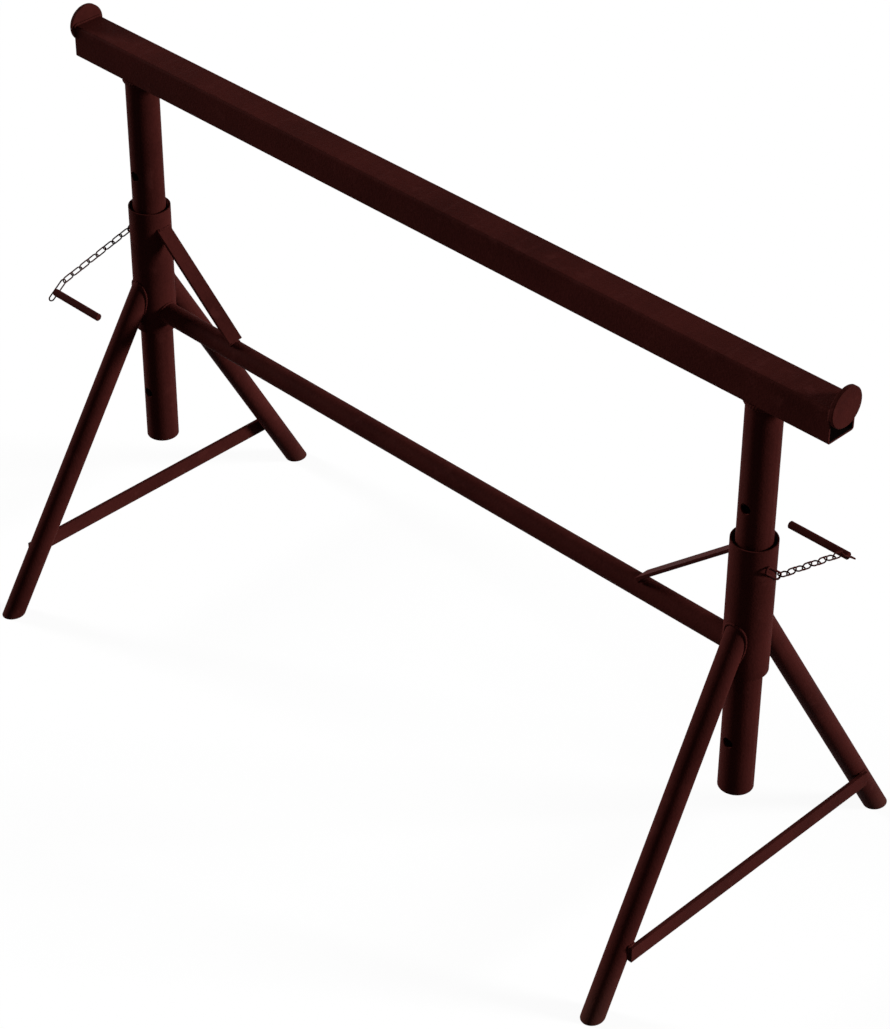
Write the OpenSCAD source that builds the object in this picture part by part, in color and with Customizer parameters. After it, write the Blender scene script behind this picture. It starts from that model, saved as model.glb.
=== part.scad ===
// Height-adjustable builders trestle: a square top beam on two round posts that
// slide in the sleeves of a welded four-legged stand, with a locking pin on a
// chain at each end. X runs along the beam, Z is up, the floor is Z = 0 and the
// origin lies under the middle of the beam. The right end is at +X. Each end
// is the other one turned half a turn about Z.

/* [Top beam] */
// Distance between the two post centres
post_span = 1200; // [1000:10:1500]
// Length of beam beyond each post centre
beam_overhang = 120; // [90:1:180]
// Outside width and height of the square beam
beam_size = 51; // [46:0.5:58]
// Wall of the beam
beam_wall = 3; // [2:0.5:5]
// Outside corner radius of the beam
beam_corner = 4; // [3.5:0.5:6]
// Height of the beam's underside above the floor
beam_under = 852; // [780:1:940]

/* [End stops] */
// Diameter of the round stop on each end of the beam
stop_d = 58.4; // [48:0.2:66]
// Thickness of the stop
stop_t = 6; // [4:0.5:8]
// Height of the stop's centre above the beam's centre
stop_rise = 21.5; // [12:0.5:26]
// Chamfer round the stop's outer edge
stop_chamfer = 0.8; // [0.4:0.1:1.5]

/* [Posts] */
// Outside diameter of the posts
post_d = 50.6; // [44:0.2:56]
// Wall of the posts
post_wall = 3.2; // [2:0.2:5]
// Length of the posts below the beam
post_len = 640; // [600:1:720]
// Diameter of the pin holes across the posts
hole_d = 16; // [13:0.5:20]
// Height of the lowest pin hole above the post's lower end
hole_first = 88; // [40:1:110]
// Distance between pin holes
hole_pitch = 131; // [110:1:140]
// Number of pin holes in each post
hole_count = 4; // [3:1:4]

/* [Sleeves] */
// Height of the sleeves' lower ends above the floor
sleeve_low = 420; // [400:1:440]
// Length of the sleeves
sleeve_len = 214; // [205:1:230]
// Wall of the sleeves
sleeve_wall = 6.8; // [5:0.2:9]
// Sliding gap between post and sleeve, on the radius
sleeve_gap = 0.4; // [0.3:0.05:0.6]
// Depth of the wide mouth at a sleeve's upper end
mouth_depth = 24; // [10:1:40]
// Wall of the sleeves round the mouth
mouth_wall = 2; // [1.5:0.1:4]

/* [Legs] */
// Outside diameter of the legs
leg_d = 33.3; // [28:0.1:38]
// Wall of the legs
leg_wall = 3.2; // [2:0.2:4.5]
// Distance between the centres of an end's two feet
foot_spread = 614; // [520:2:680]
// Distance of the feet outside the post centre, along the beam
foot_kick = 24; // [10:1:40]
// Height at which the leg's centre line would meet the post's
leg_join = 532; // [515:1:550]

/* [Stretcher and flat bars] */
// Outside diameter of the stretcher
stretcher_d = 33.3; // [28:0.1:38]
// Wall of the stretcher
stretcher_wall = 3.2; // [2:0.2:4.5]
// Height of the stretcher's centre line
stretcher_h = 453; // [445:1:465]
// Width of the flat bars
flat_w = 25; // [18:0.5:30]
// Thickness of the flat bars
flat_t = 5; // [4:0.5:8]
// Height of a diagonal's upper face where it meets the sleeve
diagonal_top = 605; // [570:1:618]
// Distance from post centre to a diagonal's lower end
diagonal_reach = 185; // [140:1:260]
// Height of the middle of the bars between the legs
leg_bar_h = 88.5; // [60:0.5:200]
// Thickness of the bars between the legs
leg_bar_t = 6; // [4:0.5:8]
// Distance from the bars' ends to the legs' centre lines
leg_bar_inset = 2; // [0:0.5:4]

/* [Chains] */
// Height of the middle of the chain eyes
eye_h = 593.6; // [560:0.2:610]
// Wire of the eyes
eye_wire = 3; // [2.4:0.2:3.6]
// Outside length of an eye
eye_len = 43; // [38:0.5:46]
// Outside width of an eye
eye_w = 12.4; // [12:0.2:14]
// Slope of the eyes below level
eye_dip = 43; // [38:1:50]
// Wire of the chain links
link_wire = 2.2; // [1.8:0.1:2.4]
// Outside width of a link
link_w = 11.6; // [11.2:0.2:12.6]
// Outside length of a link
link_len = 21.8; // [20.6:0.2:26]
// Gap between the wires of neighbouring links
link_gap = 0.35; // [0.25:0.05:0.4]
// Gap between the first link and the sleeve
eye_gap = 0.4; // [0.3:0.1:3]
// Slope of the chain below level
chain_dip = 15; // [12:1:25]
// Outside length of the long link at the pin
end_link_len = 41; // [38:0.5:46]
// Slope of the long link below level
end_link_dip = 38; // [30:1:41]

/* [Pins] */
// Diameter of the locking pins
pin_d = 11.4; // [9:0.2:12]
// Length of the locking pins
pin_len = 102; // [85:1:130]
// Chamfer on the pin's ends
pin_chamfer = 1; // [0.5:0.1:1.6]
// Distance from the chain hole to the pin's outer end
pin_end = 5.5; // [3.6:0.1:5.6]
// Gap between the long link's wire and the chain hole, on the radius
pin_hole_gap = 0.4; // [0.3:0.05:0.5]
// Distance of the chain hole along the long link, from the link before it
pin_along = 20.4; // [16:0.1:22]

/* [Hidden] */
SIDES = ["right", "left"];
LINK_COUNT = 8;
LINKS = [for (s = SIDES) for (k = [1:LINK_COUNT]) str("link_", s, "_", k)];
FRAME = [
    "top_beam", "end_stop_right", "end_stop_left", "post_right", "post_left",
    "sleeve_right", "sleeve_left",
    "leg_right_front", "leg_right_back", "leg_left_front", "leg_left_back",
    "leg_bar_right", "leg_bar_left", "stretcher",
    "diagonal_right", "diagonal_left", "eye_right", "eye_left"
];
ENDS = ["end_link_right", "end_link_left", "pin_right", "pin_left"];
$fn = 96;

// Dark red oxide, a little different on the sliding top and on the chains
stand_colour = [0.25, 0.10, 0.09];
top_colour = [0.27, 0.11, 0.10];
chain_colour = [0.24, 0.10, 0.09];

// How far cutting tools run past what they cut
cut = 1;
// How far welded pieces reach into the tube they are shaped to
seat = 0.5;
// How far the eyes' wire reaches into the sleeve
eye_seat = 0.2;
// The right and left ends as turns about Z
RIGHT = 1;
LEFT = -1;
// The front is the -Y side
FRONT = -1;
BACK = 1;

post_x = post_span / 2;
post_low = beam_under - post_len;
beam_half = post_x + beam_overhang;
beam_mid = beam_under + beam_size / 2;
sleeve_bore = post_d + 2 * sleeve_gap;
sleeve_d = sleeve_bore + 2 * sleeve_wall;
sleeve_r = sleeve_d / 2;
leg_r = leg_d / 2;
foot_y = foot_spread / 2;
// The leg tubes' own seam, turned to their sides
leg_turn = 90;
stretcher_r = stretcher_d / 2;
stretcher_top = stretcher_h + stretcher_r;

// Share of the way from the floor to the join, left at height h
function left_at(h) = 1 - h / leg_join;
leg_bar_low = leg_bar_h - flat_w / 2;
leg_bar_x = post_x + foot_kick * left_at(leg_bar_h) + leg_r - seat;
leg_bar_half = foot_y * left_at(leg_bar_h) - leg_bar_inset;

// A diagonal's slope: its upper face passes through the sleeve's side at
// diagonal_top, and the lower edge of its foot rests on the stretcher
diagonal_run = diagonal_reach - sleeve_r;
diagonal_rise = diagonal_top - stretcher_top + seat;
diagonal_span = norm([diagonal_run, diagonal_rise]);
diagonal_lift = asin(flat_t / diagonal_span);
diagonal_slope = atan2(diagonal_rise, diagonal_run) - diagonal_lift;
diagonal_len = diagonal_span * cos(diagonal_lift);

// Chain: each link hooks over the wire of the one before it
wire_r = link_wire / 2;
eye_r = eye_wire / 2;
bend_r = (link_w - link_wire) / 2;
link_mid = link_len - link_wire;
end_mid = end_link_len - link_wire;
eye_hook = eye_r + wire_r + link_gap;
hook = link_wire + link_gap;
// Place of the wire that link k hangs on, along the chain
function hinge_at(k) = k < 2 ? 0 : (k - 1) * link_mid - eye_hook - (k - 2) * hook;
function hook_of(k) = k < 2 ? eye_hook : hook;
// The long link turns down on the last bend, so it hooks a little further in
end_turn = end_link_dip - chain_dip;
end_room = bend_r - hook;
end_hook = bend_r * cos(end_turn) - sqrt(end_room * end_room - pow(bend_r * sin(end_turn), 2));
pin_hole_d = link_wire + 2 * pin_hole_gap;

// Eye: an oval flat on the sleeve's side. The first link's bend clears the
// sleeve, and it hangs where the eye's lower bend runs across the chain
eye_mid = eye_len - eye_wire;
eye_bend = (eye_w - eye_wire) / 2;
eye_half = eye_mid / 2 - eye_bend;
eye_off = sleeve_r + eye_r - eye_seat;
first_off = sleeve_r + eye_gap + wire_r + bend_r;
first_y = sqrt(first_off * first_off - eye_off * eye_off);
chain_x = post_x + eye_off;
chain_y = first_y - (bend_r - eye_hook) * cos(chain_dip);
chain_z = eye_h - eye_half * sin(eye_dip) - eye_bend * sin(chain_dip);
eye_y = chain_y - eye_half * cos(eye_dip) - eye_bend * cos(chain_dip);

// Turns what is drawn for the right end to the end asked for
module at_end(side) {
    rotate([0, 0, side == RIGHT ? 0 : 180])
        children();
}

// Lays what is drawn along +Z on the line from a to b
module along(a, b) {
    v = b - a;
    translate(a)
        rotate([0, acos(v.z / norm(v)), atan2(v.y, v.x)])
            children();
}

// Round tube standing on Z = 0
module tube(d, wall, len) {
    difference() {
        cylinder(d = d, h = len);
        translate([0, 0, -cut])
            cylinder(d = d - 2 * wall, h = len + 2 * cut);
    }
}

// Square with round corners, about the origin
module round_square(size, r) {
    flat = size - 2 * r;
    square([size, flat], center = true);
    square([flat, size], center = true);
    for (x = [-1, 1])
        for (y = [-1, 1])
            translate([x * flat / 2, y * flat / 2])
                circle(r = r);
}

// The solid outline of the right-hand sleeve, for shaping what meets it
module sleeve_outline() {
    translate([post_x, 0, sleeve_low - cut])
        cylinder(d = sleeve_d, h = sleeve_len + 2 * cut);
}

// The solid outline of one right-hand leg
module leg_outline(way, d) {
    foot = [post_x + foot_kick, way * foot_y, 0];
    join = [post_x, 0, leg_join];
    run = join - foot;
    start = foot - run * (d / norm(run));
    along(start, join)
        rotate([0, 0, leg_turn])
            cylinder(d = d, h = norm(join - start));
}

// Closed oval of wire in the XY plane, from the bend at -X to the bend at +X
module oval(mid_len, bend, wire) {
    half = mid_len / 2 - bend;
    for (s = [-1, 1]) {
        translate([s * half, 0, 0])
            rotate([0, 0, -s * 90])
                rotate_extrude(angle = 180)
                    translate([bend, 0])
                        circle(d = wire);
        translate([-half, s * bend, 0])
            rotate([0, 90, 0])
                cylinder(d = wire, h = 2 * half);
    }
}

// Puts what is drawn along +X on the chain's line, with Y towards the post
module on_chain() {
    translate([chain_x, chain_y, chain_z])
        rotate([0, chain_dip, 90])
            children();
}

// Square hollow beam, open at both ends
module top_beam() {
    color(top_colour)
        translate([-beam_half, 0, beam_mid])
            rotate([90, 0, 90])
                difference() {
                    linear_extrude(2 * beam_half)
                        round_square(beam_size, beam_corner);
                    translate([0, 0, -cut])
                        linear_extrude(2 * beam_half + 2 * cut)
                            round_square(beam_size - 2 * beam_wall, beam_corner - beam_wall);
                }
}

// Round stop on the beam's end that keeps boards from sliding off
module end_stop(side) {
    color(top_colour)
        at_end(side)
            translate([beam_half, 0, beam_mid + stop_rise])
                rotate([0, 90, 0])
                    rotate_extrude()
                        polygon([
                            [0, 0],
                            [stop_d / 2, 0],
                            [stop_d / 2, stop_t - stop_chamfer],
                            [stop_d / 2 - stop_chamfer, stop_t],
                            [0, stop_t]
                        ]);
}

// Sliding post with a row of pin holes across it
module post(side) {
    color(top_colour)
        at_end(side)
            translate([post_x, 0, post_low])
                difference() {
                    tube(post_d, post_wall, post_len);
                    for (k = [0:hole_count - 1])
                        translate([0, 0, hole_first + k * hole_pitch])
                            rotate([90, 0, 0])
                                cylinder(d = hole_d, h = post_d + 2 * cut, center = true);
                }
}

// Sleeve that the post slides in, with a wide mouth at its upper end
module sleeve(side) {
    color(stand_colour)
        at_end(side)
            translate([post_x, 0, sleeve_low])
                difference() {
                    tube(sleeve_d, sleeve_wall, sleeve_len);
                    translate([0, 0, sleeve_len - mouth_depth])
                        cylinder(d = sleeve_d - 2 * mouth_wall, h = mouth_depth + cut);
                }
}

// Leg tube, cut level at the floor and shaped to the sleeve
module leg(side, way) {
    color(stand_colour)
        at_end(side)
            difference() {
                leg_outline(side * way, leg_d);
                leg_outline(side * way, leg_d - 2 * leg_wall);
                sleeve_outline();
                translate([post_x, 0, -leg_d])
                    cube([foot_spread, 2 * foot_spread, 2 * leg_d], center = true);
            }
}

// Flat bar on edge across the outer sides of an end's two legs
module leg_bar(side) {
    color(stand_colour)
        at_end(side)
            difference() {
                translate([leg_bar_x, -leg_bar_half, leg_bar_low])
                    cube([leg_bar_t, 2 * leg_bar_half, flat_w]);
                for (way = [FRONT, BACK])
                    leg_outline(way, leg_d);
            }
}

// Tube between the two sleeves
module stretcher() {
    color(stand_colour)
        difference() {
            translate([-post_x, 0, stretcher_h])
                rotate([0, 90, 0])
                    tube(stretcher_d, stretcher_wall, post_span);
            for (side = [RIGHT, LEFT])
                at_end(side)
                    sleeve_outline();
        }
}

// Flat diagonal from the sleeve's side down to the top of the stretcher
module diagonal(side) {
    color(stand_colour)
        at_end(side)
            difference() {
                translate([post_x - sleeve_r, 0, diagonal_top])
                    rotate([0, -diagonal_slope, 0])
                        translate([-diagonal_len, -flat_w / 2, -flat_t])
                            cube([diagonal_len + seat, flat_w, flat_t]);
                sleeve_outline();
                translate([0, 0, stretcher_h])
                    rotate([0, 90, 0])
                        cylinder(d = stretcher_d, h = post_x);
            }
}

// Oval of wire, welded flat on the sleeve's outer side, that the chain hangs on
module eye(side) {
    color(chain_colour)
        at_end(side)
            difference() {
                translate([chain_x, eye_y, eye_h])
                    rotate([0, eye_dip, 90])
                        rotate([90, 0, 0])
                            oval(eye_mid, eye_bend, eye_wire);
                sleeve_outline();
            }
}

// One chain link: odd ones lie flat on the chain's slope, even ones on edge
module chain_link(side, k) {
    color(chain_colour)
        at_end(side)
            on_chain()
                translate([hinge_at(k) - hook_of(k) + link_mid / 2, 0, 0])
                    rotate([k % 2 == 1 ? 0 : 90, 0, 0])
                        oval(link_mid, bend_r, link_wire);
}

// Places what is drawn along +X on the long link's line
module on_end_link() {
    on_chain()
        translate([hinge_at(LINK_COUNT + 1), 0, 0])
            rotate([0, end_turn, 0])
                children();
}

// Long link through the pin's chain hole
module end_link(side) {
    color(chain_colour)
        at_end(side)
            on_end_link()
                translate([end_mid / 2 - end_hook, 0, 0])
                    oval(end_mid, bend_r, link_wire);
}

// Locking pin with a hole across it for the long link's inner side
module pin(side) {
    pin_r = pin_d / 2;
    color(chain_colour)
        at_end(side)
            on_end_link()
                translate([pin_along, bend_r, 0])
                    difference() {
                        translate([0, -pin_end, 0])
                            rotate([-90, 0, 0])
                                rotate_extrude()
                                    polygon([
                                        [0, 0],
                                        [pin_r - pin_chamfer, 0],
                                        [pin_r, pin_chamfer],
                                        [pin_r, pin_len - pin_chamfer],
                                        [pin_r - pin_chamfer, pin_len],
                                        [0, pin_len]
                                    ]);
                        rotate([0, 90, 0])
                            cylinder(d = pin_hole_d, h = pin_d + 2 * cut, center = true);
                    }
}

top_beam();
end_stop(RIGHT);  // end_stop_right
end_stop(LEFT);  // end_stop_left
post(RIGHT);  // post_right
post(LEFT);  // post_left
sleeve(RIGHT);  // sleeve_right
sleeve(LEFT);  // sleeve_left
leg(RIGHT, FRONT);  // leg_right_front
leg(RIGHT, BACK);  // leg_right_back
leg(LEFT, FRONT);  // leg_left_front
leg(LEFT, BACK);  // leg_left_back
leg_bar(RIGHT);  // leg_bar_right
leg_bar(LEFT);  // leg_bar_left
stretcher();
diagonal(RIGHT);  // diagonal_right
diagonal(LEFT);  // diagonal_left
eye(RIGHT);  // eye_right
eye(LEFT);  // eye_left
chain_link(RIGHT, 1);  // link_right_1
chain_link(RIGHT, 2);  // link_right_2
chain_link(RIGHT, 3);  // link_right_3
chain_link(RIGHT, 4);  // link_right_4
chain_link(RIGHT, 5);  // link_right_5
chain_link(RIGHT, 6);  // link_right_6
chain_link(RIGHT, 7);  // link_right_7
chain_link(RIGHT, 8);  // link_right_8
chain_link(LEFT, 1);  // link_left_1
chain_link(LEFT, 2);  // link_left_2
chain_link(LEFT, 3);  // link_left_3
chain_link(LEFT, 4);  // link_left_4
chain_link(LEFT, 5);  // link_left_5
chain_link(LEFT, 6);  // link_left_6
chain_link(LEFT, 7);  // link_left_7
chain_link(LEFT, 8);  // link_left_8
end_link(RIGHT);  // end_link_right
end_link(LEFT);  // end_link_left
pin(RIGHT);  // pin_right
pin(LEFT);  // pin_left
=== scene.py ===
"""Paints, welds and lights a height-adjustable builders trestle.

Lengths are in metres. X runs along the beam, -Y is the front, Z is up and the floor is Z = 0.
The left end is the right end turned half a turn about Z.
"""

import logging
import math
from dataclasses import dataclass
from enum import Enum

import bmesh
import bpy
from mathutils import Matrix, Vector


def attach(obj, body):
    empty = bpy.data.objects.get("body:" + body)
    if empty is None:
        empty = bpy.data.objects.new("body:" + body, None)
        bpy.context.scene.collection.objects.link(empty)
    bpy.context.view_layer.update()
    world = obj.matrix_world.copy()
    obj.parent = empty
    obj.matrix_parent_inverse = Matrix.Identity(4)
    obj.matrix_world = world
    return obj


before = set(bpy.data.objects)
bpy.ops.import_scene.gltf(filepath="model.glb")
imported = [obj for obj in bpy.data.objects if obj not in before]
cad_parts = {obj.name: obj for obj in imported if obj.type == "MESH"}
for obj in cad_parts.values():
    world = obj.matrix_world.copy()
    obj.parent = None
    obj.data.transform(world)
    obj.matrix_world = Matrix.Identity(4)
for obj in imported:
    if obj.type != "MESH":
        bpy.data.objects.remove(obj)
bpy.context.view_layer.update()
LOG = logging.getLogger("trestle")
Colour = tuple[float, float, float]

ALONG = Vector((1.0, 0.0, 0.0))
UP = Vector((0.0, 0.0, 1.0))
POST_X = 0.600
SLEEVE_R = 0.0325
TOP_RED: Colour = (0.057, 0.0115, 0.0096)
WHITE: Colour = (1.0, 1.0, 1.0)
OPAQUE = 1.0
NOISE_MIDDLE = 0.5

# The Mix node has sockets of the same name for each type of data, so its colours go by number.
MIX_SHARE, MIX_FIRST, MIX_SECOND = 0, 6, 7
MIX_RESULT = 2


class Side(Enum):
    """The two ends of the trestle, as the sign of X and Y after half a turn."""

    RIGHT = 1
    LEFT = -1

    def turn(self, point: Vector) -> Vector:
        """Moves a point of the right end to this end."""
        return Vector((self.value * point.x, self.value * point.y, point.z))


class Way(Enum):
    """The front and back of the trestle, as the sign of Y."""

    FRONT = -1
    BACK = 1


class Body(Enum):
    """The rigid bodies that new pieces ride on."""

    STAND = "stand"
    TOP = "top"


class Rub(Enum):
    """How a painted surface is rubbed in use, as the number of marks to a metre of X, Y and Z."""

    NONE = (0.0, 0.0, 0.0)
    ALONG_POST = (150.0, 150.0, 3.0)
    ACROSS_BEAM = (170.0, 7.0, 170.0)


@dataclass(frozen=True)
class Noise:
    """A smooth noise.

    Attributes:
        scale: Its waves to a metre.
        detail: Its finer layers.
    """

    scale: float
    detail: float


@dataclass(frozen=True)
class Rise:
    """A rise from 0 to 1.

    Attributes:
        level: The value that it starts at.
        gain: How steep it is.
    """

    level: float
    gain: float


class Value:
    """A shader socket that can stand in a sum; each operator adds one Math node."""

    def __init__(self, graph: "Graph", socket: bpy.types.NodeSocket | None) -> None:
        """Keeps the socket and the graph that it belongs to."""
        self.graph = graph
        self.socket = socket

    def _math(self, operation: str, first: "Value | float", second: "Value | float") -> "Value":
        """Adds one Math node.

        Args:
            operation: The Math node's operation.
            first: Its first value.
            second: Its second value.

        Returns:
            The node's result.
        """
        return self.graph.add("ShaderNodeMath", {"operation": operation}, {0: first, 1: second})

    def __add__(self, other: "Value | float") -> "Value":
        """Adds."""
        return self._math("ADD", self, other)

    def __radd__(self, other: "Value | float") -> "Value":
        """Adds, with the number first."""
        return self._math("ADD", other, self)

    def __sub__(self, other: "Value | float") -> "Value":
        """Subtracts."""
        return self._math("SUBTRACT", self, other)

    def __rsub__(self, other: "Value | float") -> "Value":
        """Subtracts from the number first."""
        return self._math("SUBTRACT", other, self)

    def __mul__(self, other: "Value | float") -> "Value":
        """Multiplies."""
        return self._math("MULTIPLY", self, other)

    def __rmul__(self, other: "Value | float") -> "Value":
        """Multiplies, with the number first."""
        return self._math("MULTIPLY", other, self)

    def clamp(self) -> "Value":
        """Holds the value between 0 and 1."""
        return self.graph.add("ShaderNodeClamp", {}, {"Value": self})

    def spread(self, gain: float) -> "Value":
        """Widens a noise about its middle, and holds it between 0 and 1."""
        return ((self - NOISE_MIDDLE) * gain + NOISE_MIDDLE).clamp()

    def over(self, rise: Rise) -> "Value":
        """Rises from 0 above a level, and holds at 1."""
        return ((self - rise.level) * rise.gain).clamp()

    def out(self, name: str) -> "Value":
        """Another output of the same node."""
        return Value(self.graph, self.socket.node.outputs[name])


class Graph:
    """The nodes of one material or of the world."""

    def __init__(self, tree: bpy.types.NodeTree) -> None:
        """Empties the tree and keeps it."""
        tree.nodes.clear()
        self.tree = tree

    def add(
        self,
        kind: str,
        settings: dict[str, object],
        inputs: dict[str | int, object],
        output: str | int = 0,
    ) -> Value:
        """Adds one node.

        Args:
            kind: The node's type.
            settings: Its settings, set before its sockets.
            inputs: The values or links of its sockets, by name or number.
            output: The output to hand back.

        Returns:
            The output, or an empty value for a node that has none.
        """
        node = self.tree.nodes.new(kind)
        for name, setting in settings.items():
            setattr(node, name, setting)
        for name, value in inputs.items():
            if isinstance(value, Value):
                self.tree.links.new(value.socket, node.inputs[name])
            else:
                node.inputs[name].default_value = value
        return Value(self, node.outputs[output] if len(node.outputs) else None)

    def noise(self, where: Value, noise: Noise) -> Value:
        """A noise of about 0.3 to 0.7 at each place."""
        inputs = {"Vector": where, "Scale": noise.scale, "Detail": noise.detail}
        return self.add("ShaderNodeTexNoise", {}, inputs)

    def axis(self, vector: Value, name: str) -> Value:
        """The X, Y or Z of a vector."""
        return self.add("ShaderNodeSeparateXYZ", {}, {"Vector": vector}, name)

    def normal(self) -> Value:
        """The direction that the surface faces."""
        return self.add("ShaderNodeNewGeometry", {}, {}, "Normal")

    def mix(self, share: Value, first: "Value | Colour", second: "Value | Colour") -> Value:
        """Mixes two colours.

        Args:
            share: How much of the second shows.
            first: The colour at 0.
            second: The colour at 1.

        Returns:
            The mixed colour.
        """
        pair = [c if isinstance(c, Value) else (*c, OPAQUE) for c in (first, second)]
        inputs = {MIX_SHARE: share, MIX_FIRST: pair[0], MIX_SECOND: pair[1]}
        return self.add("ShaderNodeMix", {"data_type": "RGBA"}, inputs, MIX_RESULT)


@dataclass(frozen=True)
class PaintFinish:
    """Matt red oxide paint on steel, a little uneven, thin on edges and where it is rubbed.

    Attributes:
        name: The material's name.
        slot: The record's material slot.
        colour: The full coat.
        thin: The coat where it is rubbed thin.
        bare_steel_and_shade: The bare steel inside the beam, drawn near black as painted shade in
            that hollow.
        dust: Site dust on the lower ends.
        roughness: Middle roughness.
        roughness_spread: How far the roughness varies.
        gloss: Specular level.
        cloud: Broad unevenness.
        grain: Fine unevenness.
        cloud_share: Share of the broad unevenness in the two.
        shade_gain: How strongly the two show.
        uneven: How far the coat's colour varies either way, as a share of it.
        scuff: Pattern of the small scuffs.
        scuff_rise: Where that pattern shows as scuffs.
        scuff_share: How thin the coat is in a scuff.
        peel: Ripple of the sprayed coat.
        peel_depth: Depth of that ripple.
        peel_strength: How strongly the ripple turns the light.
        edge_radius: How far the rounded look of an edge reaches, or 0.
        edge_samples: Samples of the rounded look.
        edge_rise: How sharp an edge has to be to wear.
        edge_break: How strongly the grain breaks up a worn edge.
        edge_share: How thin the coat is on a worn edge.
        edge_polish: How much smoother a worn edge is.
        rub: How the surface is rubbed.
        mark: Pattern of the rub marks, before they are stretched.
        mark_rise: Where that pattern shows as marks.
        top_rise: How level a face of the beam has to be for marks.
        rub_share: How thin the coat is in a mark.
        rub_polish: How much smoother a mark is.
        dust_height: How far up the dust reaches, or 0.
        dust_break: How strongly the broad unevenness breaks up the dust.
        dust_share: How much of the coat the dust hides.
        dust_roughness: How much rougher the dust is.
        bare_and_shaded_half: Half the width of the beam's inside, bare steel darkened with painted
            shade, or 0.
        bare_and_shaded_height: Height of the middle of that inside.
        bare_and_shaded_rise: How sharply that dark inside starts.
    """

    name: str
    slot: str
    colour: Colour
    thin: Colour = (0.078, 0.0175, 0.0150)
    # Near black: bare steel, darkened further as painted shade inside the beam.
    bare_steel_and_shade: Colour = (0.007, 0.0046, 0.0040)
    dust: Colour = (0.100, 0.052, 0.040)
    roughness: float = 0.58
    roughness_spread: float = 0.16
    gloss: float = 0.005
    cloud: Noise = Noise(8.0, 4.0)
    grain: Noise = Noise(170.0, 3.0)
    cloud_share: float = 0.7
    shade_gain: float = 2.6
    uneven: float = 0.30
    scuff: Noise = Noise(46.0, 6.0)
    scuff_rise: Rise = Rise(0.60, 12.0)
    scuff_share: float = 0.50
    peel: Noise = Noise(330.0, 2.0)
    peel_depth: float = 0.00050
    peel_strength: float = 0.8
    edge_radius: float = 0.0014
    edge_samples: int = 6
    edge_rise: Rise = Rise(0.03, 7.0)
    edge_break: float = 4.0
    edge_share: float = 0.90
    edge_polish: float = 0.08
    rub: Rub = Rub.NONE
    mark: Noise = Noise(1.0, 3.0)
    mark_rise: Rise = Rise(0.52, 6.0)
    top_rise: Rise = Rise(0.8, 6.0)
    rub_share: float = 0.22
    rub_polish: float = 0.10
    dust_height: float = 0.0
    dust_break: float = 3.0
    dust_share: float = 0.32
    dust_roughness: float = 0.14
    bare_and_shaded_half: float = 0.0
    bare_and_shaded_height: float = 0.0
    bare_and_shaded_rise: Rise = Rise(0.0, 60.0)

    def make(self) -> bpy.types.Material:
        """Builds the material.

        Returns:
            The finished material.
        """
        material = bpy.data.materials.new(self.name)
        material.use_nodes = True
        g = Graph(material.node_tree)
        where = g.add("ShaderNodeTexCoord", {}, {}, "Object")
        cloud = g.noise(where, self.cloud)
        grain = g.noise(where, self.grain)
        mottle = self.cloud_share * cloud + (1.0 - self.cloud_share) * grain
        shade = mottle.spread(self.shade_gain)
        low = tuple((1.0 - self.uneven) * c for c in self.colour)
        high = tuple((1.0 + self.uneven) * c for c in self.colour)
        scuffs = g.noise(where, self.scuff).over(self.scuff_rise)
        colour = g.mix(self.scuff_share * scuffs, g.mix(shade, low, high), self.thin)
        roughness = self.roughness + self.roughness_spread * (shade - NOISE_MIDDLE)
        relief: dict[str | int, object] = {
            "Strength": self.peel_strength,
            "Distance": self.peel_depth,
            "Height": g.noise(where, self.peel),
        }
        if self.edge_radius > 0:
            soft = g.add(
                "ShaderNodeBevel", {"samples": self.edge_samples}, {"Radius": self.edge_radius}
            )
            edge = self._worn(g, soft) * grain.spread(self.edge_break)
            colour = g.mix(self.edge_share * edge, colour, self.thin)
            roughness = roughness - self.edge_polish * edge
            relief["Normal"] = soft
        if self.rub is not Rub.NONE:
            rubbed = self._rubbed(g, where)
            colour = g.mix(self.rub_share * rubbed, colour, self.thin)
            roughness = roughness - self.rub_polish * rubbed
        if self.dust_height > 0:
            low_down = (1.0 - g.axis(where, "Z") * (1.0 / self.dust_height)).clamp()
            dusty = low_down * cloud.spread(self.dust_break)
            colour = g.mix(self.dust_share * dusty, colour, self.dust)
            roughness = roughness + self.dust_roughness * dusty
        if self.bare_and_shaded_half > 0:
            # Painted shade: the bare steel inside the beam is drawn near black, as the shade in
            # that hollow.
            colour = g.mix(self._bare_and_shaded_inside(g, where), colour, self.bare_steel_and_shade)
        coat = g.add(
            "ShaderNodeBsdfPrincipled",
            {},
            {
                "Base Color": colour,
                "Roughness": roughness,
                "Specular IOR Level": self.gloss,
                "Normal": g.add("ShaderNodeBump", {}, relief),
            },
        )
        g.add("ShaderNodeOutputMaterial", {}, {"Surface": coat})
        return material

    def _worn(self, g: Graph, soft: Value) -> Value:
        """The edges, where the rounded look turns away from the true surface.

        Args:
            g: The material's nodes.
            soft: The direction that the rounded look faces.

        Returns:
            1 on a sharp edge and 0 on a flat face.
        """
        pair = {0: soft, 1: g.normal()}
        facing = g.add("ShaderNodeVectorMath", {"operation": "DOT_PRODUCT"}, pair, "Value")
        return (1.0 - facing).over(self.edge_rise)

    def _rubbed(self, g: Graph, where: Value) -> Value:
        """Fine rub marks, along the posts or across the top of the beam.

        Args:
            g: The material's nodes.
            where: Object coordinates.

        Returns:
            The share of the coat that is rubbed.
        """
        drawn = g.add("ShaderNodeMapping", {}, {"Vector": where, "Scale": self.rub.value})
        marks = g.noise(drawn, self.mark).over(self.mark_rise)
        if self.rub is Rub.ALONG_POST:
            return marks
        return marks * g.axis(g.normal(), "Z").over(self.top_rise)

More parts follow.
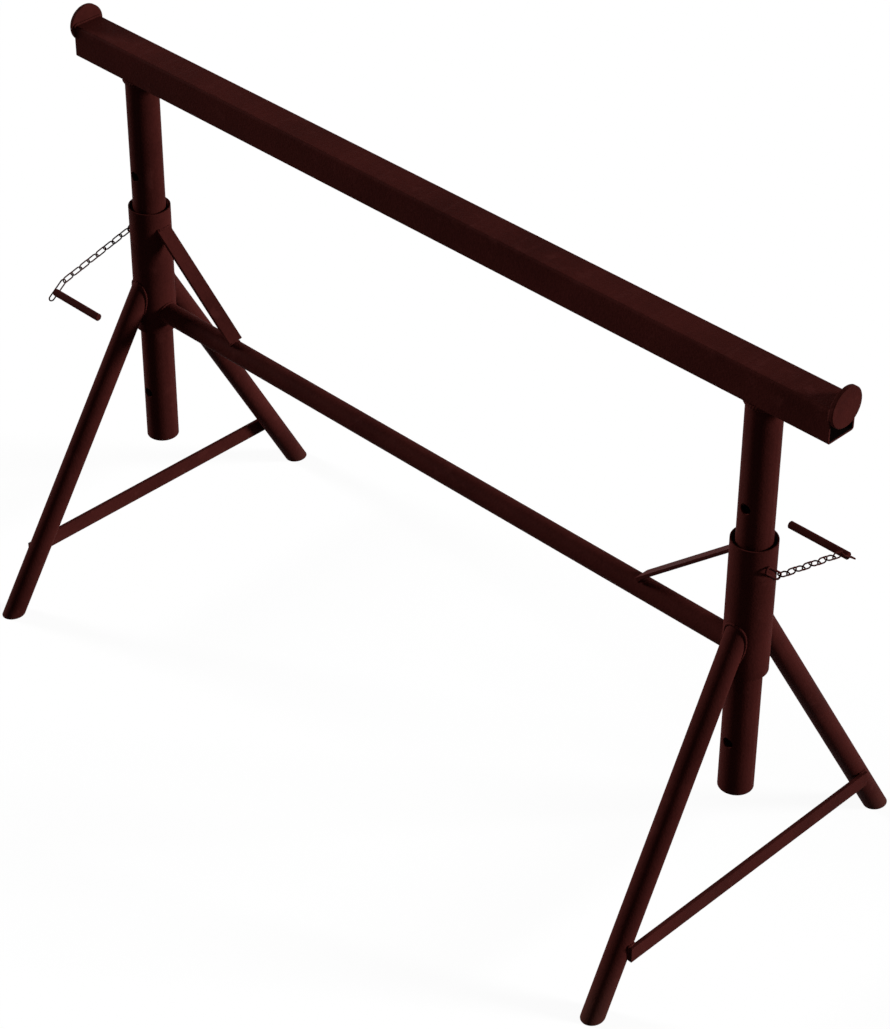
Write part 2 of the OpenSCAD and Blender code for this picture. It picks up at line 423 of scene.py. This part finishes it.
    def _bare_and_shaded_inside(self, g: Graph, where: Value) -> Value:
        """The inside of the beam, bare steel that takes painted shade.

        Args:
            g: The material's nodes.
            where: Object coordinates.

        Returns:
            1 on the inside, bare steel with painted shade, and 0 on the coated faces.
        """
        across = g.axis(where, "Y")
        height = across.out("Z") - self.bare_and_shaded_height
        scale = 1.0 / self.bare_and_shaded_half**2
        between_sides = (1.0 - across * across * scale).over(self.bare_and_shaded_rise)
        return between_sides * (1.0 - height * height * scale).over(self.bare_and_shaded_rise)


@dataclass(frozen=True)
class FloorFinish:
    """Plain white studio floor that shows white and keeps the shadow.

    Attributes:
        name: The material's name.
        colour: The matt part, which takes the shadow.
        glow: What the camera sees besides it.
    """

    name: str = "studio_floor"
    colour: Colour = (0.15, 0.15, 0.15)
    glow: float = 0.925

    def make(self) -> bpy.types.Material:
        """Builds the material.

        Returns:
            The finished material.
        """
        material = bpy.data.materials.new(self.name)
        material.use_nodes = True
        g = Graph(material.node_tree)
        matt = g.add("ShaderNodeBsdfDiffuse", {}, {"Color": (*self.colour, OPAQUE)})
        glow = g.add("ShaderNodeEmission", {}, {"Strength": seen_directly(g) * self.glow})
        both = g.add("ShaderNodeAddShader", {}, {0: matt, 1: glow})
        g.add("ShaderNodeOutputMaterial", {}, {"Surface": both})
        return material


def seen_directly(g: Graph) -> Value:
    """What the camera, a reflection or a clear piece sees, as 1.

    Args:
        g: The nodes of the floor or the world.

    Returns:
        1 for those rays and 0 for the rest.
    """
    camera = g.add("ShaderNodeLightPath", {}, {}, "Is Camera Ray")
    return (camera + camera.out("Is Glossy Ray") + camera.out("Is Transmission Ray")).clamp()


def turns(count: int) -> list[float]:
    """Even angles round a full turn."""
    return [math.tau * k / count for k in range(count)]


@dataclass
class WeldBead:
    """One run of weld along a joint, with the ripples of its pools.

    Attributes:
        name: The piece's name.
        path: The line of its middle.
        half_width: Half its width.
        closed: True for a run that meets its own start.
        across: A direction that the path never follows, to steady its section.
        pool: Length of one ripple.
        least_pools: The fewest ripples of a run.
        ripple: Depth of the ripples, as a share of half_width.
        end_size: Size of an open run's ends, as a share of half_width.
        sides: Sides of its section.
        steps: Rings to a ripple.
    """

    name: str
    path: list[Vector]
    half_width: float
    closed: bool
    across: Vector
    pool: float = 0.0042
    least_pools: int = 2
    ripple: float = 0.10
    end_size: float = 0.45
    sides: int = 10
    steps: int = 4

    def centres(self) -> list[Vector]:
        """Spaces the middles of the rings evenly along the path.

        Returns:
            The middles, with the path's end only where it is open.
        """
        line = self.path + self.path[:1] if self.closed else self.path
        lengths = [(b - a).length for a, b in zip(line, line[1:])]
        count = self.steps * max(self.least_pools, round(sum(lengths) / self.pool))
        points, piece, done = [], 0, 0.0
        for k in range(count if self.closed else count + 1):
            target = sum(lengths) * k / count
            while piece < len(lengths) - 1 and done + lengths[piece] < target:
                done += lengths[piece]
                piece += 1
            points.append(line[piece].lerp(line[piece + 1], (target - done) / lengths[piece]))
        return points

    def stations(self) -> list[Matrix]:
        """Places the rings along the path.

        Returns:
            One placing for each ring, with its size.
        """
        points = self.centres()
        last = len(points) - 1
        placings = []
        for k, point in enumerate(points):
            ahead = points[(k + 1) % len(points)] if self.closed else points[min(k + 1, last)]
            behind = points[k - 1] if self.closed else points[max(k - 1, 0)]
            along = (ahead - behind).normalized()
            side = (self.across - along * self.across.dot(along)).normalized()
            size = 1.0 + self.ripple * math.cos(math.tau * k / self.steps)
            if not self.closed:
                inward = min(k, last - k) / self.steps
                size *= min(1.0, self.end_size + (1.0 - self.end_size) * inward)
            turn = Matrix((side, along.cross(side), along)).transposed().to_4x4()
            grow = Matrix.Diagonal((size, size, 1.0, 1.0))
            placings.append(Matrix.Translation(point) @ turn @ grow)
        return placings

    def build(self, material: bpy.types.Material, slot: str, body: Body) -> None:
        """Sweeps the bead along its path and hangs it on its body.

        Args:
            material: Its paint.
            slot: The record's material slot; not used.
            body: The body that it rides on.
        """
        places = self.stations()
        bm = bmesh.new()
        bmesh.ops.create_circle(bm, segments=self.sides, radius=self.half_width)
        first = ring = bm.edges[:]
        bmesh.ops.transform(bm, matrix=places[0], verts=bm.verts[:])
        for before, after in zip(places, places[1:]):
            grown = bmesh.ops.extrude_edge_only(bm, edges=ring)["geom"]
            fresh = {v for v in grown if isinstance(v, bmesh.types.BMVert)}
            edges = [e for e in grown if isinstance(e, bmesh.types.BMEdge)]
            ring = [e for e in edges if fresh.issuperset(e.verts)]
            bmesh.ops.transform(bm, matrix=after @ before.inverted(), verts=list(fresh))
        if self.closed:
            bmesh.ops.bridge_loops(bm, edges=first + ring)
        else:
            bmesh.ops.edgeloop_fill(bm, edges=first)
            bmesh.ops.edgeloop_fill(bm, edges=ring)
        bmesh.ops.recalc_face_normals(bm, faces=bm.faces[:])
        for face in bm.faces:
            face.smooth = True
        mesh = bpy.data.meshes.new(self.name)
        bm.to_mesh(mesh)
        bm.free()
        mesh.materials.append(material)
        piece = bpy.data.objects.new(self.name, mesh)
        bpy.context.scene.collection.objects.link(piece)
        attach(piece, body.value)
        LOG.info("weld %s: %d rings on %s", self.name, len(places), body.value)


def paint_nodes(material: bpy.types.Material, *starts: str) -> None:
    """Puts one paint on every CAD node whose name starts with one of these words.

    Args:
        material: The paint.
        starts: How the nodes' names start.
    """
    for name, node in sorted(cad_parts.items()):
        if name.startswith(starts):
            node.data.materials.clear()
            node.data.materials.append(material)
            LOG.info("paint %s: %s", material.name, name)


@dataclass
class Stand:
    """The welded stand: sleeves, legs, leg bars, stretcher and diagonals.

    Attributes:
        post_x: Distance of a post from the middle.
        sleeve_r: Outside radius of the sleeves.
        leg_r: Outside radius of the legs.
        foot_kick: Distance of the feet outside the post.
        foot_y: Distance of the feet from the middle, front and back.
        leg_join: Height at which the legs' lines meet the post's.
        stretcher_r: Outside radius of the stretcher.
        stretcher_h: Height of the stretcher.
        flat_w: Width of the flat bars.
        diagonal_top: Height of the diagonals at the sleeve.
        diagonal_reach: Distance of the diagonals' feet from the post.
        leg_bar_h: Height of the bars between the legs.
        leg_bar_inset: Distance of the bars' ends from the legs' lines.
        tube_weld: Half width of the welds round the tubes.
        tube_weld_out: How far those lie out of their corners, as a share of tube_weld.
        tube_weld_points: Points to each of those.
        bar_weld: Half width of the welds on the flat bars.
        bar_weld_off: How far the welds on the bars lie off the tubes they run along.
        bar_weld_past: How far they lie past the bars' edges.
        bar_weld_steps: Steps to each straight run of those.
        diagonal_share: Length of the welds at the diagonals' feet, as a share of flat_w.
        corner_share: Length of the leg bars' welds along the top, as a share of leg_r.
        paint: The stand's paint.
    """

    post_x: float = POST_X
    sleeve_r: float = SLEEVE_R
    leg_r: float = 0.01665
    foot_kick: float = 0.024
    foot_y: float = 0.307
    leg_join: float = 0.532
    stretcher_r: float = 0.01665
    stretcher_h: float = 0.453
    flat_w: float = 0.025
    diagonal_top: float = 0.605
    diagonal_reach: float = 0.185
    leg_bar_h: float = 0.0885
    leg_bar_inset: float = 0.002
    tube_weld: float = 0.0020
    tube_weld_out: float = 0.3
    tube_weld_points: int = 120
    bar_weld: float = 0.0019
    bar_weld_off: float = 0.0006
    bar_weld_past: float = 0.0004
    bar_weld_steps: int = 12
    diagonal_share: float = 0.84
    corner_share: float = 0.75
    paint: PaintFinish = PaintFinish(
        "stand_paint", "stand_red", (0.056, 0.0113, 0.0095), dust_height=0.09
    )

    def build(self) -> None:
        """Paints the stand's nodes and lays its welds."""
        material = self.paint.make()
        paint_nodes(material, "sleeve", "leg", "stretcher", "diagonal")
        for side in Side:
            for bead in self.beads(side):
                bead.path = [side.turn(p) for p in bead.path]
                bead.across = side.turn(bead.across)
                bead.build(material, self.paint.slot, Body.STAND)

    def beads(self, side: Side) -> list[WeldBead]:
        """Lists one end's welds, as they lie at the right end.

        Args:
            side: The end, for the names.

        Returns:
            The welds.
        """
        end = side.name.lower()
        found = [
            self.tube_bead(f"stretcher_{end}", self.stretcher_h, ALONG, self.stretcher_r),
            self.bar_bead(f"diagonal_top_{end}", self.diagonal_head(), UP),
            self.bar_bead(f"diagonal_foot_{end}", self.diagonal_foot(), ALONG),
        ]
        for way in Way:
            local = side.value * way.value
            run = Vector((-self.foot_kick, -local * self.foot_y, self.leg_join)).normalized()
            name = f"{end}_{way.name.lower()}"
            found.append(self.tube_bead(f"leg_{name}", self.leg_join, run, self.leg_r))
            found.append(self.bar_bead(f"leg_bar_{name}", self.leg_bar_end(local), ALONG))
        return found

    def tube_bead(self, joint: str, height: float, run: Vector, radius: float) -> WeldBead:
        """Makes one weld round a tube, on the right-hand sleeve.

        Args:
            joint: The joint's name.
            height: Height at which the tube's line meets the sleeve's.
            run: The tube's direction, towards the sleeve.
            radius: The tube's outside radius.

        Returns:
            The weld.
        """
        path = self.saddle(ALONG * self.post_x + UP * height, run, radius)
        return WeldBead(f"weld_{joint}", path, self.tube_weld, True, run)

    def bar_bead(self, joint: str, path: list[Vector], across: Vector) -> WeldBead:
        """Makes one weld on a flat bar."""
        return WeldBead(f"weld_{joint}", path, self.bar_weld, False, across)

    def saddle(self, join: Vector, run: Vector, radius: float) -> list[Vector]:
        """The line round a tube where it meets the right-hand sleeve.

        Args:
            join: Where the tube's line meets the sleeve's.
            run: The tube's direction, towards the sleeve.
            radius: The tube's outside radius.

        Returns:
            The points of the weld's middle, a little out of the corner.
        """
        first = run.orthogonal().normalized()
        second = run.cross(first)
        level = run.xy.length_squared
        points = []
        for turn in turns(self.tube_weld_points):
            out = first * math.cos(turn) + second * math.sin(turn)
            foot = out * radius
            lean = run.xy.dot(foot.xy)
            reach = math.sqrt(lean**2 - level * (foot.xy.length_squared - self.sleeve_r**2))
            point = join + foot - run * ((lean + reach) / level)
            away = Vector((point.x - join.x, point.y - join.y, 0.0)).normalized()
            points.append(point + (away + out).normalized() * (self.tube_weld_out * self.tube_weld))
        return points

    def across(self, width: float) -> list[float]:
        """Even places across a flat bar, about its middle."""
        steps = self.bar_weld_steps
        return [width * k / steps - width / 2 for k in range(steps + 1)]

    def diagonal_head(self) -> list[Vector]:
        """The line across a diagonal's upper end, on the sleeve."""
        z = self.diagonal_top + self.bar_weld_off
        middle = self.post_x - self.bar_weld_off
        return [
            Vector((middle - math.sqrt(self.sleeve_r**2 - y**2), y, z))
            for y in self.across(self.flat_w)
        ]

    def diagonal_foot(self) -> list[Vector]:
        """The line across a diagonal's lower end, over the stretcher."""
        x = self.post_x - self.diagonal_reach - self.bar_weld_past
        middle = self.stretcher_h + self.bar_weld_past
        return [
            Vector((x, y, middle + math.sqrt(self.stretcher_r**2 - y**2)))
            for y in self.across(self.diagonal_share * self.flat_w)
        ]

    def leg_bar_end(self, local: int) -> list[Vector]:
        """The line along a leg bar's end, over its upper corner and down the leg.

        Args:
            local: The sign of Y at the right end.

        Returns:
            The points of the weld's middle.
        """
        end = self.foot_y * (1.0 - self.leg_bar_h / self.leg_join) - self.leg_bar_inset
        top, low = self.leg_bar_h + self.flat_w / 2, self.leg_bar_h - self.flat_w / 2
        corners = [(end - self.corner_share * self.leg_r, top), (end, top), (end, low)]
        slope = self.leg_join / math.hypot(self.leg_join, self.foot_y)
        points = []
        for (y0, z0), (y1, z1) in zip(corners, corners[1:]):
            for k in range(self.bar_weld_steps):
                done = k / self.bar_weld_steps
                y, z = y0 + (y1 - y0) * done, z0 + (z1 - z0) * done
                left = 1.0 - z / self.leg_join
                aside = (y - self.foot_y * left) * slope
                x = self.post_x + self.foot_kick * left + math.sqrt(self.leg_r**2 - aside**2)
                lift = self.bar_weld_past if z == top else 0.0
                y = local * (y + self.bar_weld_past)
                points.append(Vector((x + self.bar_weld_off, y, z + lift)))
        return points


@dataclass
class SlidingTop:
    """The part that slides: beam, end stops and posts.

    Attributes:
        post_x: Distance of a post from the middle.
        post_r: Outside radius of the posts.
        beam_half: Half the beam's length.
        beam_size: Width and height of the beam.
        beam_corner: Outside corner radius of the beam.
        beam_under: Height of the beam's underside.
        stop_r: Radius of the end stops.
        stop_rise: Height of the stops' middle above the beam's.
        post_weld: Half width of the welds under the beam.
        post_weld_out: How far those lie outside the posts, as a share of post_weld.
        post_weld_down: How far they lie below the beam, as a share of post_weld.
        post_weld_points: Points to each of those.
        stop_weld: Half width of the welds on the stops.
        stop_weld_out: How far those lie outside the beam, as a share of stop_weld.
        stop_weld_in: How far they lie inside the stops' faces, as a share of stop_weld.
        stop_weld_steps: Steps to each corner of those.
        beam_paint: The beam's paint.
        stop_paint: The paint on the stops and the welds.
        post_paint: The posts' paint.
    """

    post_x: float = POST_X
    post_r: float = 0.0253
    beam_half: float = 0.720
    beam_size: float = 0.051
    beam_corner: float = 0.004
    beam_under: float = 0.852
    stop_r: float = 0.0292
    stop_rise: float = 0.0215
    post_weld: float = 0.0028
    post_weld_out: float = 0.2
    post_weld_down: float = 0.3
    post_weld_points: int = 96
    stop_weld: float = 0.0021
    stop_weld_out: float = 0.25
    stop_weld_in: float = 0.35
    stop_weld_steps: int = 6
    beam_paint: PaintFinish = PaintFinish(
        "beam_paint",
        "top_red",
        TOP_RED,
        rub=Rub.ACROSS_BEAM,
        # The beam's inside is drawn near black: bare steel with painted shade.
        bare_and_shaded_half=0.023,
        bare_and_shaded_height=0.8775,
    )
    stop_paint: PaintFinish = PaintFinish("stop_paint", "top_red", TOP_RED)
    post_paint: PaintFinish = PaintFinish("post_paint", "top_red", TOP_RED, rub=Rub.ALONG_POST)

    def build(self) -> None:
        """Paints the sliding nodes and lays their welds."""
        paints = (self.beam_paint, self.stop_paint, self.post_paint)
        beam, stop, post = (paint.make() for paint in paints)
        paint_nodes(beam, "top_beam")
        paint_nodes(stop, "end_stop")
        paint_nodes(post, "post")
        for side in Side:
            end = side.name.lower()
            ring = [side.turn(p) for p in self.post_head()]
            seam = [side.turn(p) for p in self.stop_seam()]
            for bead in (
                WeldBead(f"weld_post_{end}", ring, self.post_weld, True, UP),
                WeldBead(f"weld_stop_{end}", seam, self.stop_weld, False, ALONG),
            ):
                bead.build(stop, self.stop_paint.slot, Body.TOP)

    def post_head(self) -> list[Vector]:
        """The ring round a post's upper end, under the beam."""
        r = self.post_r + self.post_weld_out * self.post_weld
        z = self.beam_under - self.post_weld_down * self.post_weld
        return [
            Vector((self.post_x + r * math.cos(turn), r * math.sin(turn), z))
            for turn in turns(self.post_weld_points)
        ]

    def stop_seam(self) -> list[Vector]:
        """The line where the beam's sides and top meet the inner face of a stop.

        Returns:
            The points of the weld's middle, from one side over the top to the other.
        """
        half, r = self.beam_size / 2, self.beam_corner
        middle = self.beam_under + half
        out = self.stop_weld_out * self.stop_weld
        low = middle + self.stop_rise - math.sqrt(self.stop_r**2 - half**2)
        x = self.beam_half - self.stop_weld_in * self.stop_weld
        quarter = math.pi / 2
        points = [Vector((x, -half - out, low))]
        for centre, start in ((-1, math.pi), (1, quarter)):
            for k in range(self.stop_weld_steps + 1):
                turn = start - quarter * k / self.stop_weld_steps
                y = centre * (half - r) + (r + out) * math.cos(turn)
                points.append(Vector((x, y, middle + half - r + (r + out) * math.sin(turn))))
        points.append(Vector((x, half + out, low)))
        return points


@dataclass
class LockingChains:
    """The chain eyes, chains, long links and pins.

    Attributes:
        post_x: Distance of a post from the middle.
        sleeve_r: Outside radius of the sleeves.
        eye_y: Distance of an eye's middle behind the post's.
        eye_h: Height of an eye's middle.
        eye_bend: Half the distance between an eye's two sides.
        eye_dip: Slope of an eye below level, in degrees.
        weld: Half width of the welds under an eye's sides.
        weld_along: Half the length of such a weld.
        weld_across: Half its width, round the wire.
        weld_points: Points to such a weld.
        weld_pool: Length of one of its ripples.
        weld_sides: Sides of its section.
        weld_steps: Rings to a ripple.
        chain_paint: The paint on the wire.
        pin_paint: The paint on the pins.
    """

    post_x: float = POST_X
    sleeve_r: float = SLEEVE_R
    eye_y: float = 0.00143
    eye_h: float = 0.5936
    eye_bend: float = 0.0047
    eye_dip: float = 43.0
    weld: float = 0.0008
    weld_along: float = 0.0042
    weld_across: float = 0.0016
    weld_points: int = 48
    weld_pool: float = 0.0026
    weld_sides: int = 8
    weld_steps: int = 6
    chain_paint: PaintFinish = PaintFinish(
        "chain_paint",
        "chain_red",
        (0.050, 0.0102, 0.0086),
        grain=Noise(420.0, 3.0),
        peel=Noise(1500.0, 2.0),
        peel_depth=0.00008,
        edge_radius=0.0,
    )
    pin_paint: PaintFinish = PaintFinish(
        "pin_paint",
        "chain_red",
        (0.053, 0.0108, 0.0091),
        grain=Noise(320.0, 3.0),
        peel=Noise(1100.0, 2.0),
        peel_depth=0.0001,
        edge_radius=0.0006,
    )

    def build(self) -> None:
        """Paints the chains and pins and lays the welds of their eyes."""
        wire, pin = self.chain_paint.make(), self.pin_paint.make()
        paint_nodes(wire, "eye", "link", "end_link")
        paint_nodes(pin, "pin")
        for side in Side:
            for number, sign in enumerate((1, -1), start=1):
                bead = WeldBead(
                    f"weld_eye_{side.name.lower()}_{number}",
                    [side.turn(p) for p in self.eye_seat(sign)],
                    self.weld,
                    True,
                    ALONG,
                    pool=self.weld_pool,
                    sides=self.weld_sides,
                    steps=self.weld_steps,
                )
                bead.build(wire, self.chain_paint.slot, Body.STAND)

    def eye_seat(self, sign: int) -> list[Vector]:
        """The ring round the place where one side of an eye lies on the sleeve.

        Args:
            sign: 1 for the upper side and -1 for the lower one.

        Returns:
            The points of the weld's middle.
        """
        dip = math.radians(self.eye_dip)
        along = Vector((math.cos(dip), -math.sin(dip)))
        across = Vector((math.sin(dip), math.cos(dip)))
        middle = Vector((self.eye_y, self.eye_h)) + sign * self.eye_bend * across
        seat = middle - along * (middle.x / along.x)
        points = []
        for turn in turns(self.weld_points):
            reach = along * (self.weld_along * math.cos(turn))
            y, z = seat + reach + across * (self.weld_across * math.sin(turn))
            points.append(Vector((self.post_x + math.sqrt(self.sleeve_r**2 - y**2), y, z)))
        return points


@dataclass(frozen=True)
class SoftLamp:
    """One large soft lamp, far away.

    Attributes:
        name: The lamp's name.
        shines_from: The direction that its light comes from.
        level: Its level on a face that looks at it.
        spread: Its apparent width, in degrees.
    """

    name: str
    shines_from: Vector
    level: float
    spread: float = 14.0

    def hang(self) -> None:
        """Hangs the lamp."""
        data = bpy.data.lights.new(self.name, "SUN")
        data.energy = math.pi * self.level
        data.angle = math.radians(self.spread)
        lamp = bpy.data.objects.new(self.name, data)
        lamp.rotation_euler = self.shines_from.to_track_quat("Z", "Y").to_euler()
        bpy.context.scene.collection.objects.link(lamp)


@dataclass
class Studio:
    """Camera, floor, lamps and world.

    Attributes:
        eye: The camera's place.
        gaze: The direction that it looks in.
        lens: Its focal length, in millimetres.
        sensor: Its sensor along the picture's long side, in millimetres.
        shift: Its shift, across and up.
        floor_half: Half the floor's width.
        floor_finish: The floor's finish.
        lamps: The lamps.
        air: Level of the light from all round.
    """

    eye: Vector = Vector((2.5203, -2.5216, 2.9830))
    gaze: Vector = Vector((-1.0, 1.0, -1.0))
    lens: float = 105.78
    sensor: float = 36.0
    shift: tuple[float, float] = (0.01776, -0.05577)
    floor_half: float = 30.0
    floor_finish: FloorFinish = FloorFinish()
    lamps: tuple[SoftLamp, ...] = (
        SoftLamp("key", Vector((0.762, 0.595, 0.255)), 0.98),
        SoftLamp("fill", Vector((-0.940, -0.225, 0.255)), 0.74),
    )
    air: float = 0.07

    def build(self) -> None:
        """Sets up the camera, the floor, the lamps and the world."""
        self.set_camera()
        self.lay_floor()
        for lamp in self.lamps:
            lamp.hang()
        self.fill_air()

    def set_camera(self) -> None:
        """Places the camera at the photograph's viewing angle."""
        data = bpy.data.cameras.new("camera")
        data.sensor_fit = "AUTO"
        data.sensor_width = self.sensor
        data.lens = self.lens
        data.shift_x, data.shift_y = self.shift
        camera = bpy.data.objects.new("camera", data)
        camera.location = self.eye
        camera.rotation_euler = self.gaze.to_track_quat("-Z", "Y").to_euler()
        bpy.context.scene.collection.objects.link(camera)
        bpy.context.scene.camera = camera

    def lay_floor(self) -> None:
        """Lays the plain floor."""
        bm = bmesh.new()
        bmesh.ops.create_grid(bm, x_segments=1, y_segments=1, size=self.floor_half)
        mesh = bpy.data.meshes.new("floor")
        bm.to_mesh(mesh)
        bm.free()
        mesh.materials.append(self.floor_finish.make())
        floor = bpy.data.objects.new("floor", mesh)
        bpy.context.scene.collection.objects.link(floor)

    def fill_air(self) -> None:
        """Lights the room evenly, white to the camera."""
        world = bpy.data.worlds.new("studio")
        world.use_nodes = True
        g = Graph(world.node_tree)
        level = self.air + (1.0 - self.air) * seen_directly(g)
        light = g.add("ShaderNodeBackground", {}, {"Color": (*WHITE, OPAQUE), "Strength": level})
        g.add("ShaderNodeOutputWorld", {}, {"Surface": light})
        bpy.context.scene.world = world
        bpy.context.scene.view_settings.view_transform = "Standard"


def main() -> None:
    """Builds the studio and the trestle's sub-assemblies in order."""
    logging.basicConfig(level=logging.INFO, format="%(message)s")
    for part in (Studio(), Stand(), SlidingTop(), LockingChains()):
        LOG.info("build %s", type(part).__name__)
        part.build()


if __name__ == "__main__":
    main()
